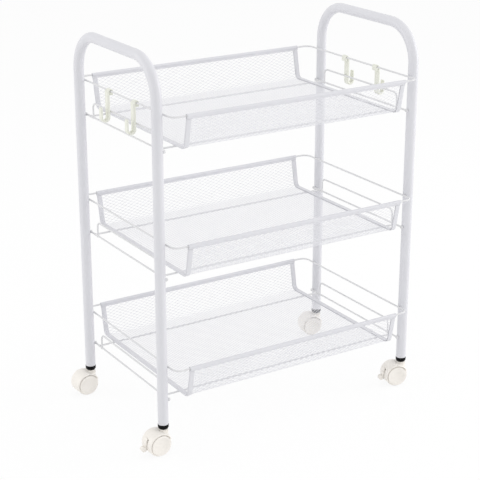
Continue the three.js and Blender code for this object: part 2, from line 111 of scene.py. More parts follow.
@dataclass
class Surface:
    """A closed surface: points in millimetres, and faces as lists of point numbers."""

    points: np.ndarray
    faces: list[list[int]]

    def volume(self) -> float:
        """Sums the signed volumes of the tetrahedra from the middle to each face's triangle fan.

        Returns:
            The volume in cubic millimetres, negative where the faces point in.
        """
        middle = self.points.mean(axis=0)
        fans = [(f[0], f[i], f[i + 1]) for f in self.faces for i in range(1, len(f) - 1)]
        a, b, c = (self.points[np.array(fans)[:, k]] - middle for k in range(3))
        return float(np.einsum("ij,ij->i", a, np.cross(b, c)).sum() / 6)

    def outward(self) -> "Surface":
        """Turns the faces round if they point in.

        Returns:
            The same surface with its faces pointing out.
        """
        if self.volume() >= 0:
            return self
        return Surface(self.points, [face[::-1] for face in self.faces])

    def moved(self, offset: tuple[float, float, float]) -> "Surface":
        """Gives a copy shifted by an offset."""
        return Surface(self.points + np.array(offset, float), self.faces)

    def spun(self, angle: float) -> "Surface":
        """Gives a copy turned about the Z axis by an angle in radians, anticlockwise from above."""
        turn = np.array([[math.cos(angle), math.sin(angle)], [-math.sin(angle), math.cos(angle)]])
        return Surface(np.concatenate([self.points[:, :2] @ turn, self.points[:, 2:]], axis=1), self.faces)

    def turned(self, axes: str, signs: tuple[float, float, float] = (1, 1, 1)) -> "Surface":
        """Gives a copy whose x, y and z are taken from the named axes, times the signs.

        Args:
            axes: Three letters, such as "xzy" to swap height and depth.
            signs: A factor for each new axis.

        Returns:
            The turned surface.
        """
        order = ["xyz".index(letter) for letter in axes]
        return Surface(self.points[:, order] * np.array(signs, float), self.faces)


def grid_faces(rows: int, columns: int, wrap_rows: bool = False, wrap_columns: bool = False) -> np.ndarray:
    """Numbers the four-sided faces of a grid of points.

    Args:
        rows: Points along the first parameter.
        columns: Points along the second parameter.
        wrap_rows: Whether the last row joins the first.
        wrap_columns: Whether the last column joins the first.

    Returns:
        An array of four point numbers a face.
    """
    r = np.arange(rows if wrap_rows else rows - 1)[:, None]
    c = np.arange(columns if wrap_columns else columns - 1)[None, :]
    next_r, next_c = (r + 1) % rows, (c + 1) % columns
    corners = (r * columns + c, r * columns + next_c, next_r * columns + next_c, next_r * columns + c)
    return np.stack(np.broadcast_arrays(*corners), axis=-1).reshape(-1, 4)


def end_caps(rows: int, columns: int) -> list[list[int]]:
    """Numbers the two end faces of a grid whose columns wrap, wound to match its sides.

    Args:
        rows: Points along the first parameter.
        columns: Points round the second parameter.

    Returns:
        The faces on the first and on the last row.
    """
    first = list(range(columns))[::-1]
    last = list(range((rows - 1) * columns, rows * columns))
    return [first, last]


def capped(points: np.ndarray) -> Surface:
    """Closes a grid of points whose columns wrap with a face on its first and on its last row.

    Args:
        points: An array of rows, columns and three coordinates.

    Returns:
        The closed surface.
    """
    rows, columns = points.shape[:2]
    faces = grid_faces(rows, columns, False, True).tolist() + end_caps(rows, columns)
    return Surface(points.reshape(-1, 3), faces)


def arc(centre: tuple[float, float], radius: float, start: float, stop: float, steps: int) -> np.ndarray:
    """Points on a circle: centre + radius (cos a, sin a) for evenly spaced angles a, in degrees."""
    angles = np.radians(np.linspace(start, stop, steps + 1))
    return np.array(centre) + radius * np.stack([np.cos(angles), np.sin(angles)], axis=1)


def round_section(radius: float, sides: int) -> np.ndarray:
    """A circle's points about the origin, without the repeated last one."""
    return arc((0, 0), radius, 0, 360, sides)[:-1]


def upright(distance: float, heights: np.ndarray) -> np.ndarray:
    """Points above each other: (distance, height) for each of the heights."""
    return np.stack([np.full(len(heights), distance), heights], axis=1)


@dataclass(frozen=True)
class Path:
    """A run of stations in one plane, each with its point and direction."""

    points: np.ndarray
    tangents: np.ndarray
    normal: np.ndarray
    closed: bool = False

    @property
    def across(self) -> np.ndarray:
        """The direction in the plane that is square to each tangent."""
        return np.cross(self.normal, self.tangents)


def unit(vector: np.ndarray) -> np.ndarray:
    """A vector scaled to length one."""
    return vector / np.linalg.norm(vector)


def bent_path(corners: list, radius: float, steps: int, closed: bool = False) -> Path:
    """Rounds the corners of a flat polyline.

    Each bend is an arc that touches both of its straights: spokes from the arc's centre are turned
    about the plane's normal by evenly spaced angles, and the direction turns with them.

    Args:
        corners: The polyline's corners, in millimetres.
        radius: The bends' radius on the centre line.
        steps: Steps in each bend.
        closed: Whether the run goes back to its first corner.

    Returns:
        The path, with stations only at its ends and in its bends.
    """
    knots = np.array(corners, float)
    count = len(knots)
    bends = range(count) if closed else range(1, count - 1)
    normal = unit(np.cross(knots[1] - knots[0], knots[2] - knots[1]))
    points, tangents = [], []
    for i in bends:
        into, out = unit(knots[i] - knots[i - 1]), unit(knots[(i + 1) % count] - knots[i])
        axis = unit(np.cross(into, out))
        turn = math.acos(np.clip(into @ out, -1, 1))
        centre = knots[i] + unit(out - into) * radius / math.cos(turn / 2)
        angles = np.linspace(0, turn, steps + 1)[:, None]
        spoke = -np.cross(axis, into) * radius
        points.append(centre + np.cos(angles) * spoke + np.sin(angles) * np.cross(axis, spoke))
        tangents.append(np.cos(angles) * into + np.sin(angles) * np.cross(axis, into))
    if not closed:
        points = [knots[:1], *points, knots[-1:]]
        tangents = [unit(knots[1:2] - knots[:1]), *tangents, unit(knots[-1:] - knots[-2:-1])]
    return Path(np.concatenate(points), np.concatenate(tangents), normal, closed)


def straight_path(start: tuple, stop: tuple, normal: tuple) -> Path:
    """A path of two stations with a stated plane.

    Args:
        start: The first point, in millimetres.
        stop: The last point.
        normal: The plane's normal.

    Returns:
        The path.
    """
    points = np.array([start, stop], float)
    tangents = np.repeat(unit(points[1] - points[0])[None, :], 2, axis=0)
    return Path(points, tangents, np.array(normal, float))


def swept(path: Path, section: np.ndarray) -> Surface:
    """Carries a section along a path: station + u * plane normal + v * across.

    Args:
        path: The path.
        section: (u, v) points of a closed outline, or one such outline for every station.

    Returns:
        The surface, closed by its own wrap or by two end faces.
    """
    outline = np.broadcast_to(section, (len(path.points), *section.shape[-2:]))
    points = (
        path.points[:, None, :]
        + outline[..., :1] * path.normal
        + outline[..., 1:] * path.across[:, None, :]
    )
    if not path.closed:
        return capped(points)
    return Surface(points.reshape(-1, 3), grid_faces(*points.shape[:2], True, True).tolist())


def lathed(profile: np.ndarray, sides: int) -> Surface:
    """Turns a profile of (radius, height) points about Z: (r cos a, r sin a, h).

    Args:
        profile: The outline from one end of the axis to the other, starting and ending on it.
        sides: Steps round the axis.

    Returns:
        The closed surface, with one point at each pole.
    """
    rings = profile[1:-1]
    angles = np.linspace(0, 2 * math.pi, sides, endpoint=False)
    circle = np.stack([np.cos(angles), np.sin(angles), np.ones(sides)], axis=1)
    scale = np.stack([rings[:, 0], rings[:, 0], rings[:, 1]], axis=1)
    points = (scale[:, None, :] * circle[None, :, :]).reshape(-1, 3)
    poles = np.array([[0, 0, profile[0, 1]], [0, 0, profile[-1, 1]]], float)
    here, after = np.arange(sides), (np.arange(sides) + 1) % sides
    first, last = len(points), len(points) + 1
    top = (len(rings) - 1) * sides
    faces = grid_faces(len(rings), sides, False, True).tolist()
    faces += np.stack([np.full(sides, first), after, here], axis=1).tolist()
    faces += np.stack([np.full(sides, last), top + here, top + after], axis=1).tolist()
    return Surface(np.concatenate([points, poles]), faces)


def revolved(section: np.ndarray, start: float, stop: float, steps: int) -> Surface:
    """Carries a closed (radius, y) outline round the Y axis: (r cos a, y, r sin a).

    Args:
        section: The outline.
        start: The first angle, in degrees above +X.
        stop: The last angle.
        steps: Steps between them.

    Returns:
        The closed surface with two end faces.
    """
    angles = np.radians(np.linspace(start, stop, steps + 1))[:, None]
    radius, depth = section[None, :, 0], section[None, :, 1]
    x, z = radius * np.cos(angles), radius * np.sin(angles)
    return capped(np.stack([x, np.broadcast_to(depth, x.shape), z], axis=-1))


def plate(outline: np.ndarray, width: float) -> Surface:
    """Gives an (x, z) outline a width centred on y = 0."""
    depths = (-width / 2, width / 2)
    return capped(np.stack([np.insert(outline, 1, depth, axis=1) for depth in depths]))


def bead(centre: tuple, radii: tuple, rings: int = 6, sides: int = 10) -> Surface:
    """A small ellipsoid: a half circle turned about Z, then scaled to its three radii."""
    ball = lathed(arc((0, 0), 1, -90, 90, rings), sides)
    return Surface(ball.points * np.array(radii, float) + np.array(centre, float), ball.faces)


# Materials


# Sockets of the Mix node when it mixes colours, which share their names with its other kinds
MIX_COLOUR_A = 6
MIX_COLOUR_B = 7
MIX_COLOUR_RESULT = 2


def linear(colour: str) -> tuple[float, float, float, float]:
    """Turns an sRGB hex colour into linear light.

    Args:
        colour: Six hex digits after a #.

    Returns:
        Red, green, blue and an alpha of 1.
    """
    channels = np.array([int(colour[i:i + 2], 16) for i in (1, 3, 5)]) / 255
    low, high = channels / 12.92, ((channels + 0.055) / 1.055) ** 2.4
    return (*np.where(channels <= 0.04045, low, high).tolist(), 1.0)


def per_metre(size: float) -> float:
    """The texture scale that repeats a pattern of this size in millimetres."""
    return 1 / (size * METRES)


def add_node(tree: bpy.types.NodeTree, kind: str, settings: dict, links: dict) -> bpy.types.Node:
    """Adds one shader node.

    Args:
        tree: The node tree.
        kind: The node's type, such as "ShaderNodeBump".
        settings: Values by property name, input name or input number.
        links: Output sockets by input name.

    Returns:
        The node.
    """
    node = tree.nodes.new(kind)
    for name, value in settings.items():
        if isinstance(name, int) or name in node.inputs:
            node.inputs[name].default_value = value
        else:
            setattr(node, name, value)
    for name, socket in links.items():
        tree.links.new(socket, node.inputs[name])
    return node


@dataclass(frozen=True)
class Finish:
    """A surface finish: two close colours in soft clouds, an uneven gloss and a fine relief.

    Relief and cloud sizes are millimetres across one hill of the pattern.
    """

    name: str
    slot: str
    colour: str
    shade: str
    roughness: tuple[float, float]
    relief_size: float
    relief_depth: float
    cloud_size: float
    ior: float = 1.5
    specular: float = 0.5
    metallic: float = 0.0
    stretch: tuple[float, float, float] = (1.0, 1.0, 1.0)

    def build(self) -> bpy.types.Material:
        """Makes the material.

        Returns:
            The node material, on Object coordinates.
        """
        material = bpy.data.materials.new(self.name)
        material.use_nodes = True
        tree = material.node_tree
        shader = tree.nodes["Principled BSDF"]
        shader.inputs["Metallic"].default_value = self.metallic
        if not self.metallic:
            shader.inputs["IOR"].default_value = self.ior
            shader.inputs["Specular IOR Level"].default_value = self.specular
        place = add_node(tree, "ShaderNodeTexCoord", {}, {})
        stretched = add_node(
            tree, "ShaderNodeMapping", {"Scale": self.stretch}, {"Vector": place.outputs["Object"]}
        )
        vector = {"Vector": stretched.outputs["Vector"]}
        clouds = add_node(
            tree, "ShaderNodeTexNoise", {"Scale": per_metre(self.cloud_size), "Detail": 3.0}, vector
        )
        relief = add_node(
            tree, "ShaderNodeTexNoise", {"Scale": per_metre(self.relief_size), "Detail": 2.0}, vector
        )
        tint = add_node(
            tree,
            "ShaderNodeMix",
            {"data_type": "RGBA", MIX_COLOUR_A: linear(self.colour), MIX_COLOUR_B: linear(self.shade)},
            {"Factor": clouds.outputs["Fac"]},
        )
        gloss = add_node(
            tree,
            "ShaderNodeMapRange",
            {"To Min": self.roughness[0], "To Max": self.roughness[1]},
            {"Value": clouds.outputs["Fac"]},
        )
        bump = add_node(
            tree,
            "ShaderNodeBump",
            {"Strength": 1.0, "Distance": self.relief_depth * METRES},
            {"Height": relief.outputs["Fac"]},
        )
        tree.links.new(tint.outputs[MIX_COLOUR_RESULT], shader.inputs["Base Color"])
        tree.links.new(gloss.outputs["Result"], shader.inputs["Roughness"])
        tree.links.new(bump.outputs["Normal"], shader.inputs["Normal"])
        return material


# Epoxy-polyester powder sprayed on steel and baked: a white film with a faint lavender shade, a soft
# gloss and the low waves called orange peel
POWDER_COAT = Finish(
    name="white_powder_coat",
    slot="powder_coat",
    colour="#DDDDE1",
    shade="#D6D6DB",
    roughness=(0.32, 0.42),
    relief_size=2.2,
    relief_depth=0.03,
    cloud_size=60.0,
)

# The same film on drawn wire, which is too thin to show a tube's broad sheen. Its colour is a plainer,
# slightly lighter grey than the tubes' film: painted light for how light falls on thin wire and round its
# eyes
WIRE_COAT = Finish(
    name="white_powder_coat_on_wire",
    slot="powder_coat",
    colour="#E0E0E1",
    shade="#D9D9DB",
    roughness=(0.36, 0.46),
    relief_size=1.6,
    relief_depth=0.02,
    cloud_size=40.0,
)

# The same film on thin expanded-steel strands, where it gathers unevenly and is a little duller. Its
# colour is painted lighter than the tubes' film: painted light for the strands, most where trays above
# shade them
MESH_COAT = Finish(
    name="white_powder_coat_on_mesh",
    slot="mesh_coat",
    colour="#E9E9ED",
    shade="#E2E2E7",
    roughness=(0.42, 0.55),
    relief_size=1.4,
    relief_depth=0.02,
    cloud_size=35.0,
)

# Injection-moulded nylon, warm ivory, with a spark-eroded mould's fine grain, drawn at twice its size
CASTER_NYLON = Finish(
    name="ivory_moulded_nylon",
    slot="caster_plastic",
    colour="#F4F0EA",
    shade="#EFEAE3",
    roughness=(0.3, 0.42),
    relief_size=0.7,
    relief_depth=0.012,
    cloud_size=18.0,
    ior=1.53,
)

# Injection-moulded polypropylene, ivory with a greenish cast, waxy and slightly matt
HOOK_POLYPROPYLENE = Finish(
    name="ivory_moulded_polypropylene",
    slot="hook_plastic",
    colour="#EAEBE1",
    shade="#E4E5D9",
    roughness=(0.36, 0.5),
    relief_size=0.8,
    relief_depth=0.015,
    cloud_size=12.0,
    ior=1.49,
)

# Black moulded polyethylene with a polished mould's gloss
PLUG_POLYETHYLENE = Finish(
    name="black_gloss_polyethylene",
    slot="plug_plastic",
    colour="#040405",
    shade="#08080A",
    roughness=(0.18, 0.3),
    relief_size=1.5,
    relief_depth=0.01,
    cloud_size=8.0,
    ior=1.51,
    specular=0.12,
)

# Bright zinc plate on turned steel, with the lathe's fine rings drawn at twice their size
ZINC_STEEL = Finish(
    name="zinc_plated_steel",
    slot="plated_steel",
    colour="#B9BBBF",
    shade="#A9ACB1",
    roughness=(0.25, 0.42),
    relief_size=0.6,
    relief_depth=0.01,
    cloud_size=6.0,
    metallic=1.0,
    stretch=(0.2, 0.2, 1.0),
)


@cache
def material_of(finish: Finish) -> bpy.types.Material:
    """Makes each finish's material once."""
    return finish.build()


def make_piece(
    name: str,
    surfaces: list[Surface],
    finish: Finish,
    replaces: str | None = None,
    body: str = CART_BODY,
    crease: float = 38.0,
) -> bpy.types.Object:
    """Puts surfaces into one mesh object that rides a body.

    Args:
        name: The piece's name.
        surfaces: Closed surfaces, in millimetres.
        finish: The finish to dress it in.
        replaces: The frame node that the piece stands for, if any.
        body: The body that carries it.
        crease: Edges that turn more than this many degrees stay sharp.

    Returns:
        The object, at the origin.
    """
    points, faces, start = [], [], 0
    for surface in (s.outward() for s in surfaces):
        points.append(surface.points)
        faces += [[i + start for i in face] for face in surface.faces] if start else surface.faces
        start += len(surface.points)
    mesh = bpy.data.meshes.new(name)
    mesh.from_pydata((np.concatenate(points) * METRES).tolist(), [], faces)
    mesh.polygons.foreach_set("use_smooth", np.ones(len(mesh.polygons), bool))
    mesh.set_sharp_from_angle(angle=math.radians(crease))
    mesh.materials.append(material_of(finish))
    piece = bpy.data.objects.new(name, mesh)
    bpy.context.scene.collection.objects.link(piece)
    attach(piece, body)
    if replaces:
        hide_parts(replaces)
    log.info("%s: %d faces on %s", name, len(faces), body)
    return piece


def bevelled(piece: bpy.types.Object, width: float, segments: int = 2) -> bpy.types.Object:
    """Rounds a piece's sharp edges.

    Args:
        piece: The piece.
        width: The rounding's width, in millimetres.
        segments: Steps across the rounding.

    Returns:
        The same piece.
    """
    modifier = piece.modifiers.new("rounded_edges", "BEVEL")
    modifier.width = width * METRES
    modifier.segments = segments
    modifier.limit_method = "ANGLE"
    modifier.harden_normals = True
    return piece


# The cart's pieces


@dataclass(frozen=True)
class EndFrame:
    """One hollow tube bent into two posts and a handle."""

    side: Side
    bend_radius: float = 58.0
    wall: float = 1.0
    sides: int = 40
    bend_steps: int = 28

    def build(self) -> None:
        """Carries an outer ring up the path and an inner ring back down it, joined at both ends."""
        node = f"{self.side.word}_end_frame"
        low, high = node_box(node)
        x, radius = (low[0] + high[0]) / 2, (high[0] - low[0]) / 2
        y, top, foot = high[1] - radius, high[2] - radius, low[2]
        corners = [(x, -y, foot), (x, -y, top), (x, y, top), (x, y, foot)]
        path = bent_path(corners, self.bend_radius, self.bend_steps)
        ring = round_section(1, self.sides)
        there_and_back = np.concatenate([path.points, path.points[::-1]])
        across = np.concatenate([path.across, path.across[::-1]])
        radii = np.repeat([radius, radius - self.wall], len(path.points))[:, None, None]
        spokes = ring[None, :, :1] * path.normal + ring[None, :, 1:] * across[:, None, :]
        points = there_and_back[:, None, :] + radii * spokes
        faces = grid_faces(len(points), self.sides, True, True).tolist()
        tube = Surface(points.reshape(-1, 3), faces)
        make_piece(f"{self.side.word}_tube_frame", [tube], POWDER_COAT, replaces=node)


@dataclass(frozen=True)
class PanHeadScrew:
    """The head of a small cross-recess screw, which stands on the YZ plane and faces +X."""

    radius: float = 2.0
    dome: float = 0.45
    fall: float = 0.55
    recess: float = 0.25
    arm: float = 0.3
    reach: float = 1.2
    first_ring: float = 0.12
    rings: int = 14
    sides: int = 48

    def head(self) -> Surface:
        """Gives the height over a polar grid: dome (1 - fall (r / radius)^4), less a cross-shaped recess.

        Returns:
            The head, closed by a skirt and a flat underside.
        """
        angle = np.linspace(0, 2 * math.pi, self.sides, endpoint=False)
        r = (self.radius * np.linspace(self.first_ring, 1, self.rings))[:, None]
        u, v = r * np.cos(angle), r * np.sin(angle)
        cross = ((np.abs(u) < self.arm) | (np.abs(v) < self.arm)) & (r < self.reach)
        height = self.dome * (1 - self.fall * (r / self.radius) ** 4) - self.recess * cross
        top = np.stack([height, u, v], axis=-1)
        skirt = np.stack([np.zeros(self.sides), u[-1], v[-1]], axis=-1)
        return capped(np.concatenate([top, skirt[None]]))


@dataclass(frozen=True)
class Tray:
    """One tray: rim wire, support frame, mesh trough, the strips that bind its edges, and screws.

    The visible wires and eyes are drawn a little thinner than the frame's, and stay on its centre lines.
    """

    tier: Tier
    wire_radius: float = 1.45
    wire_sides: int = 14
    rim_corner: float = 12.0
    rim_corner_steps: int = 16
    long_rail_y: float = 107.0
    hoop_foot_y: float = 98.0
    hoop_bend: float = 8.0
    hoop_bend_steps: int = 12
    weld_swell: tuple[float, float, float] = (1.25, 1.7, 1.3)
    eye_radius: float = 3.2
    eye_drawn: float = 2.6
    eye_rounding: float = 0.7
    eye_rounding_steps: int = 4
    eye_sides: int = 24
    floor_half_depth: float = 137.0
    trough_bend: float = 9.0
    trough_bend_steps: int = 14
    sheet: float = 0.8
    strip: float = 0.8
    hem_gap: float = 0.3
    lip_gap: float = 0.3
    end_binding_width: float = 8.0
    rim_binding_width: float = 5.0
    fold_outer_steps: int = 12
    fold_inner_steps: int = 8
    roll_outer_steps: int = 24
    roll_inner_steps: int = 20
    diamond_length: float = 10.5
    diamond_height: float = 5.3
    strand_width: float = 0.62
    strand_thickness: float = 0.2
    strand_lean: float = 0.05
    bond_overlap: float = 0.15

    def node(self, piece: str) -> str:
        """The frame's name for a piece of this tray."""
        return f"{self.tier.value}_{piece}"

    @property
    def rim(self) -> tuple[np.ndarray, np.ndarray, float]:
        """Measures the frame's rim wire.

        Returns:
            Its lowest and highest centre-line corners, and its radius.
        """
        low, high = node_box(self.node("rim_wire"))
        radius = (high[2] - low[2]) / 2
        return low + radius, high - radius, radius

    @property
    def rail(self) -> float:
        """The height of the support frame's rails."""
        return node_box(self.node("support_frame"))[0][2] + self.eye_radius

    @property
    def floor(self) -> float:
        """The height of the mesh floor's middle surface."""
        return node_box(self.node("mesh_trough"))[0][2] + self.sheet / 2

    def trough_path(self, shortened: float) -> Path:
        """The trough's U in the YZ plane at x = 0, from rim wire to rim wire.

        Args:
            shortened: A length left off at both ends.

        Returns:
            The path from the front rim to the back rim.
        """
        high = self.rim[1]
        rim, foot = np.array([0, high[1], high[2]]), np.array([0, self.floor_half_depth, self.floor])
        end = rim + unit(foot - rim) * shortened
        mirror = np.array([1, -1, 1])
        corners = [end * mirror, foot * mirror, foot, end]
        return bent_path(corners, self.trough_bend, self.trough_bend_steps)

    def build(self) -> None:
        """Makes all the tray's pieces."""
        make_piece(self.node("rim_loop"), [self.rim_loop()], WIRE_COAT, replaces=self.node("rim_wire"))
        support = self.node("support_frame")
        make_piece(self.node("wire_support"), self.support(), WIRE_COAT, replaces=support)
        make_piece(
            self.node("diamond_mesh"),
            [self.strands()],
            MESH_COAT,
            replaces=self.node("mesh_trough"),
            crease=SOFT_CREASE,
        )
        for side in Side:
            binding = self.node(f"{side.word}_end_binding")
            strip = [self.end_strip(side)]
            make_piece(self.node(f"{side.word}_end_strip"), strip, POWDER_COAT, replaces=binding)
        for end in End:
            binding = self.node(f"{end.word}_rim_binding")
            strip = [self.rim_strip(end)]
            make_piece(self.node(f"{end.word}_rim_strip"), strip, POWDER_COAT, replaces=binding)
        make_piece(self.node("tray_screws"), self.screws(), WIRE_COAT)

    def rim_loop(self) -> Surface:
        """A round wire carried round a rectangle with round corners.

        Returns:
            The closed loop.
        """
        low, high, _ = self.rim
        z = low[2]
        corners = [(low[0], low[1], z), (high[0], low[1], z), (high[0], high[1], z), (low[0], high[1], z)]
        path = bent_path(corners, self.rim_corner, self.rim_corner_steps, closed=True)
        return swept(path, round_section(self.wire_radius, self.wire_sides))

    def support(self) -> list[Surface]:
        """Round wires along both sides and both long edges, two hoops, four eyes and the welds.

        Returns:
            The wires, eyes and weld beads.
        """
        low, high = node_box(self.node("support_frame"))
        radius = self.rim[2]
        wire = round_section(self.wire_radius, self.wire_sides)
        z, hoop_top, eye_y = self.rail, high[2] - radius, high[1] - self.eye_radius
        bead_radii = tuple(swell * radius for swell in self.weld_swell)
        parts = []
        for x in (low[0] + radius, high[0] - radius):
            parts.append(swept(straight_path((x, -eye_y, z), (x, eye_y, z), (1, 0, 0)), wire))
            foot = self.hoop_foot_y
            hoop = [(x, -foot, z), (x, -foot, hoop_top), (x, foot, hoop_top), (x, foot, z)]
            parts.append(swept(bent_path(hoop, self.hoop_bend, self.hoop_bend_steps), wire))
            parts += [self.eye(radius).moved((x, y, z)) for y in (-eye_y, eye_y)]
            welds = (-self.long_rail_y, -foot, foot, self.long_rail_y)
            parts += [bead((x, y, z), bead_radii) for y in welds]
        for y in (-self.long_rail_y, self.long_rail_y):
            ends = ((low[0] + radius, y, z), (high[0] - radius, y, z))
            parts.append(swept(straight_path(*ends, (0, 1, 0)), wire))
        return parts

    def eye(self, half: float) -> Surface:
        """A round lug with rounded rims, turned about X.

        Args:
            half: Half of its length along X.

        Returns:
            The lug about the origin.
        """
        radius, soft, steps = self.eye_drawn, self.eye_rounding, self.eye_rounding_steps
        rim = np.concatenate([
            arc((radius - soft, -half + soft), soft, -90, 0, steps),
            arc((radius - soft, half - soft), soft, 0, 90, steps),
        ])
        return lathed(np.concatenate([[[0, -half]], rim, [[0, half]]]), self.eye_sides).turned("zxy")

    def screws(self) -> list[Surface]:
        """A pan-head screw in each eye, on the side that faces the tray.

        Returns:
            The four heads.
        """
        low, high = node_box(self.node("support_frame"))
        wire = 2 * self.rim[2]
        eye_y = high[1] - self.eye_radius
        head = PanHeadScrew().head()
        return [
            head.turned("xyz", (inward, 1, 1)).moved((x, y, self.rail))
            for x, inward in ((low[0] + wire, 1), (high[0] - wire, -1))
            for y in (-eye_y, eye_y)
        ]

    def strands(self) -> Surface:
        """Expanded metal: zigzag strands side by side across the trough's unrolled U.

        The n strands share the unrolled length L, about half a diamond height apart: strand k runs along X
        at v = (k + 1/2) L / n. It swings to both sides, opposite to its neighbours, as far as their edges
        overlap by the bond. Its four-cornered section is laid along the U and its normal, leaning as slit
        and stretched strands do.

        Returns:
            All the strands as one surface.
        """
        path = self.trough_path(self.rim[2] + self.hem_gap)
        steps = np.linalg.norm(np.diff(path.points, axis=0), axis=1)
        length = np.concatenate([[0], np.cumsum(steps)])
        low, high = node_box(self.node("mesh_trough"))
        count = int(length[-1] // (self.diamond_height / 2))
        turns = int((high[0] - low[0]) // (self.diamond_length / 2))
        x = np.linspace(low[0], high[0], turns + 1)
        rows = (np.arange(count) + 0.5) * length[-1] / count
        swing = self.diamond_height / 4 - self.strand_width / 2 + self.bond_overlap
        sign = 1 - 2 * ((np.arange(count)[:, None] + np.arange(turns + 1)[None, :]) % 2)
        half, thin, lean = self.strand_width / 2, self.strand_thickness / 2, self.strand_lean
        over = np.array([-half, half, half, -half])
        out = np.array([-thin - lean, lean - thin, thin + lean, thin - lean])
        v = np.clip(rows[:, None, None] + swing * sign[:, :, None] + over, 0, length[-1])
        y, z, ny, nz = (
            np.interp(v, length, values)
            for values in (path.points[:, 1], path.points[:, 2], path.across[:, 1], path.across[:, 2])
        )
        xs = np.broadcast_to(x[None, :, None], v.shape)
        points = np.stack([xs, y + out * ny, z + out * nz], axis=-1).reshape(-1, 3)
        corners = len(over)
        one = grid_faces(turns + 1, corners, False, True)
        caps = np.array(end_caps(turns + 1, corners))
        starts = np.arange(count)[:, None, None] * (turns + 1) * corners
        faces = (np.concatenate([one, caps])[None, :, :] + starts).reshape(-1, corners).tolist()
        return Surface(points, faces)

    def end_strip(self, side: Side) -> Surface:
        """A strip folded over the sheet's end and pinched on it: a closing channel carried along the U.

        Args:
            side: The end of the tray that it binds.

        Returns:
            The strip.
        """
        low, high = node_box(self.node(f"{side.word}_end_binding"))
        inner, width = self.sheet / 2 + self.hem_gap, self.end_binding_width
        outer, pinched = inner + self.strip, self.lip_gap + self.strip
        fold = np.concatenate([
            [[width, pinched]],
            arc((outer, 0), outer, 90, 270, self.fold_outer_steps),
            [[width, -pinched], [width, -self.lip_gap]],
            arc((outer, 0), inner, 270, 90, self.fold_inner_steps),
            [[width, self.lip_gap]],
        ])
        edge = low[0] if side is Side.LEFT else high[0]
        channel = np.stack([edge - side.value * fold[:, 0], fold[:, 1]], axis=1)
        return swept(self.trough_path(self.rim_binding_width + self.hem_gap), channel)

    def rim_strip(self, end: End) -> Surface:
        """A strip rolled round the rim wire and pinched over the sheet, carried along X.

        Args:
            end: The long edge of the tray that it binds.

        Returns:
            The strip.
        """
        low, high = node_box(self.node(f"{end.word}_rim_binding"))
        _, rim, radius = self.rim
        hem, pinch = radius + self.hem_gap, self.sheet / 2 + self.hem_gap
        outer, flange = hem + self.strip, pinch + self.strip
        outer_angle = math.degrees(math.acos(flange / outer))
        inner_angle = math.degrees(math.acos(pinch / hem))
        width, lip = self.rim_binding_width, self.lip_gap
        roll = np.concatenate([
            [[lip, -width], [lip + self.strip, -width]],
            arc((0, 0), outer, -outer_angle, 180 + outer_angle, self.roll_outer_steps),
            [[-lip - self.strip, -width], [-lip, -width]],
            arc((0, 0), hem, 180 + inner_angle, -inner_angle, self.roll_inner_steps),
        ])
        flare = math.atan2(rim[1] - self.floor_half_depth, rim[2] - self.floor)
        across = roll[:, 0] * math.cos(flare) + roll[:, 1] * math.sin(flare)
        up = roll[:, 1] * math.cos(flare) - roll[:, 0] * math.sin(flare)
        section = np.stack([end.value * (rim[1] + across), rim[2] + up], axis=1)
        path = straight_path((low[0], 0, 0), (high[0], 0, 0), (0, 1, 0))
        return swept(path, section * np.array([1, -1]))


